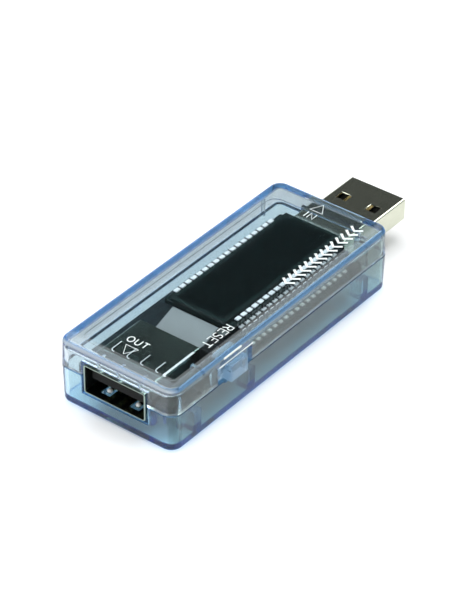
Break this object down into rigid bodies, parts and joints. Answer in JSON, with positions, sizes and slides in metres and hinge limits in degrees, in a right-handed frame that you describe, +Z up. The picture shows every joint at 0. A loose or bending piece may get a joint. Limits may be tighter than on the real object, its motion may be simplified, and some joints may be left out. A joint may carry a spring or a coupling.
{
  "type": "usb power meter",
  "caption": "Clear-cased inline USB meter with a plug at one end, a socket at the other, a segment LCD seen through the lid and a side reset button.",
  "frame": {"origin": "centre of the case's flat underside", "axes": "+X towards the plug along the length, -X to the socket, -Y to the side with the reset button, +Z up through the display"},
  "size_m": [0.0747, 0.0262, 0.0127],
  "materials": {
    "case_plastic": "clear polycarbonate, faint blue-grey tint, polished",
    "button_plastic": "clear blue-tinted acrylic, polished",
    "black_plastic": "moulded black, slight grain",
    "white_plastic": "white, diffusing",
    "board": "dark green solder mask over glass laminate, satin",
    "plated_steel": "nickel-plated folded sheet, bright",
    "display_glass": "black LCD under polished glass and polariser",
    "rear_glass": "green-grey glass with a ground edge",
    "tinned_pins": "tinned spring clips with a bead of clear resin",
    "light_guide": "milky acrylic",
    "led_plastic": "yellowish phosphor in a white body",
    "gold_contacts": "gold-flashed spring strip",
    "ceramic_body": "ceramic chip with tinned ends"
  },
  "bodies": {
    "case": {"upper_shell": "case_plastic", "lower_shell": "case_plastic", "switch_body": "black_plastic", "main_board": "board", "socket_shell": "plated_steel", "socket_insulator": "black_plastic", "socket_contact_1": "gold_contacts", "socket_contact_2": "gold_contacts", "socket_contact_3": "gold_contacts", "socket_contact_4": "gold_contacts", "plug_shell": "plated_steel", "plug_insulator": "black_plastic", "plug_contact_1": "gold_contacts", "plug_contact_2": "gold_contacts", "plug_contact_3": "gold_contacts", "plug_contact_4": "gold_contacts", "lcd_front_glass": "display_glass", "lcd_rear_glass": "rear_glass", "lcd_pins_far": "tinned_pins", "lcd_pins_near": "tinned_pins", "backlight_guide": "light_guide", "backlight_flap": "white_plastic", "backlight_led_1": "led_plastic", "backlight_led_2": "led_plastic", "microcontroller": "black_plastic", "shunt_resistor": "black_plastic", "voltage_regulator": "black_plastic", "crystal": "plated_steel", "capacitor_1": "ceramic_body", "capacitor_2": "ceramic_body", "capacitor_3": "ceramic_body", "capacitor_4": "ceramic_body", "resistor_1": "black_plastic", "resistor_2": "black_plastic", "resistor_3": "black_plastic", "resistor_4": "black_plastic"},
    "button": {"reset_button": "button_plastic"},
    "plunger": {"switch_plunger": "white_plastic"}
  },
  "joints": [
    {"name": "button_press", "type": "slide", "parent": "case", "child": "button", "axis": [0, 1, 0], "range_m": [0, 0.00025], "stiffness_N_per_m": 400, "springref_m": -0.0003},
    {"name": "plunger_press", "type": "slide", "parent": "case", "child": "plunger", "axis": [0, 1, 0], "range_m": [0, 0.00025]}
  ],
  "couplings": [
    {"joint": "plunger_press", "follows": "button_press", "ratio": 1}
  ]
}
